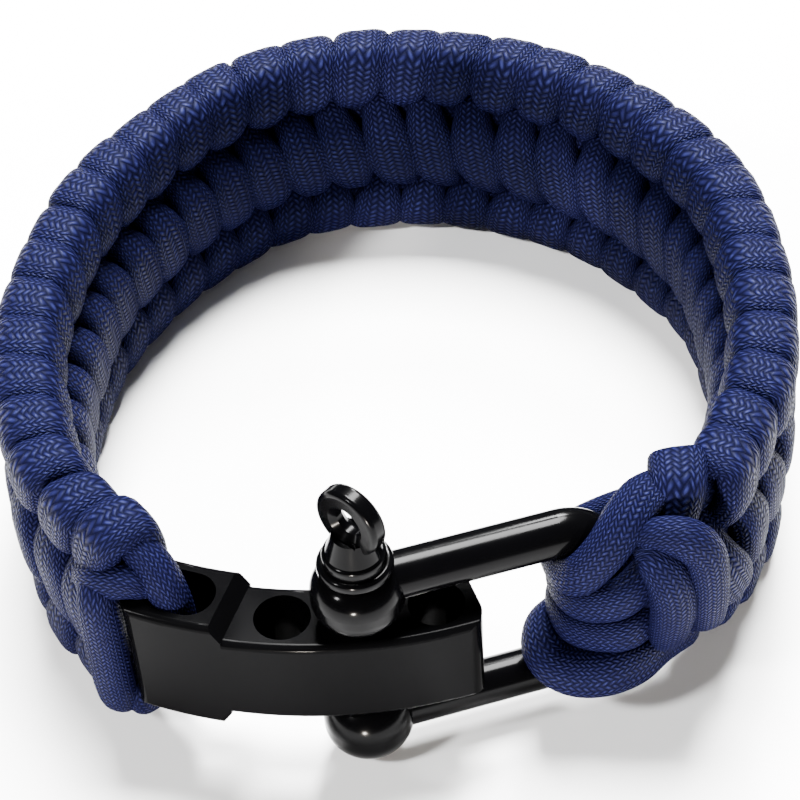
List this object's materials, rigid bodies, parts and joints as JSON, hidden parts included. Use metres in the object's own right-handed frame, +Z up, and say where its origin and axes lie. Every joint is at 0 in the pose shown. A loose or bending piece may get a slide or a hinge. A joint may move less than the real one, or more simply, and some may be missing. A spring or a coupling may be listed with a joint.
{
  "type": "paracord bracelet",
  "caption": "Wide woven cord bracelet fastened round a metal adjuster bar and a small bow shackle whose screw pin passes through one of the bar's holes.",
  "frame": {"origin": "centre of the overall box across and along, at the lowest rim the bracelet lies on", "axes": "+Z up along the wrist's axis, +X to the right with the clasp in front, +Y from the clasp to the back of the loop"},
  "size_m": [0.0727, 0.078, 0.031],
  "materials": {
    "cord": "braided nylon sheath, slight sheen",
    "metal": "glossy black coat"
  },
  "bodies": {
    "root": {"woven_band": "cord", "eye_strand_inner": "cord", "eye_strand_outer": "cord", "edge_strand": "cord", "bow_strand_top": "cord", "bow_strand_upper": "cord", "bow_strand_lower": "cord", "bow_strand_bottom": "cord", "adjuster": "metal", "shackle_bow": "metal"},
    "pin": {"shackle_pin": "metal"}
  },
  "joints": [
    {"name": "pin_draw", "type": "slide", "parent": "root", "child": "pin", "axis": [0, 0, 1], "range_m": [0, 0.022]}
  ]
}
